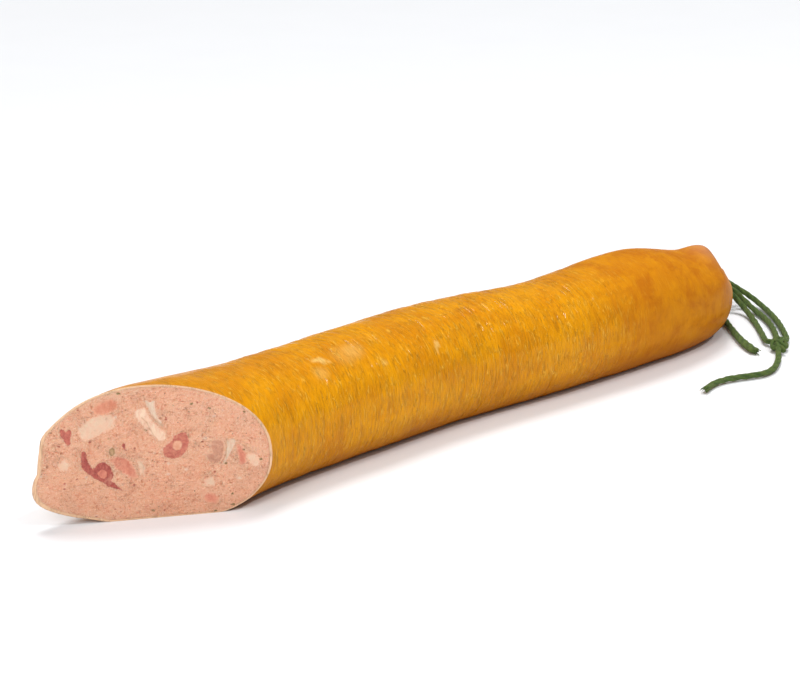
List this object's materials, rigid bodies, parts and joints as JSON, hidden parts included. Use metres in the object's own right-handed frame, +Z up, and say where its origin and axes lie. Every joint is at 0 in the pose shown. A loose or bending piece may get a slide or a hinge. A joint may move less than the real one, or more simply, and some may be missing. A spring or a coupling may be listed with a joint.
{
  "type": "cured sausage",
  "caption": "Smoked sausage in a wrinkled golden natural casing, cut at a slant to show coarse pink filling, its other end tied off with green twine that has a hanging loop.",
  "frame": {"origin": "on the surface that the sausage rests on, under the middle of the box of everything but the loose twine", "axes": "+X along the sausage from the cut end towards the tied end, +Z up"},
  "size_m": [0.3906, 0.1012, 0.0504],
  "materials": {
    "casing": "moist smoked natural casing, golden ochre, finely wrinkled, satin gloss",
    "filling": "soft crumbly cooked meat paste with flecks of herb and pepper, matt and slightly moist",
    "fat": "firm pale pork fat, smooth, slightly glossy",
    "sinew": "pearly connective tissue, smooth, slightly glossy",
    "gristle": "grey translucent gristle, wet gloss",
    "lean_meat": "cured lean meat, fibrous, slightly moist",
    "dark_meat": "dark cured meat, fibrous, slightly moist",
    "pepper_seed": "soaked grey-green peppercorn, matt",
    "twine": "soft green cotton butcher's twine, matt, fuzzy"
  },
  "bodies": {
    "root": {"casing": "casing", "filling": "filling", "fat_chunk": "fat", "fat_fold": "fat", "fat_chunk_edge": "fat", "fat_spot_tip": "fat", "fat_spot_low": "fat", "fat_curl": "fat", "sinew_fan": "sinew", "sinew_crescent": "sinew", "gristle": "gristle", "lean_meat_top": "lean_meat", "lean_meat_wedge": "lean_meat", "lean_meat_edge": "lean_meat", "lean_meat_low": "lean_meat", "dark_meat_heart": "dark_meat", "dark_meat_fleck": "dark_meat", "dark_meat_strip": "dark_meat", "strip_core": "lean_meat", "meat_ring": "dark_meat", "ring_core": "fat", "pepper_seed": "pepper_seed", "twine_winding": "twine", "tie_knot": "twine", "loop_knot": "twine", "loop_strand_outer": "twine", "loop_strand_middle": "twine", "loop_strand_inner": "twine", "long_tail": "twine", "short_tail": "twine"}
  },
  "joints": []
}
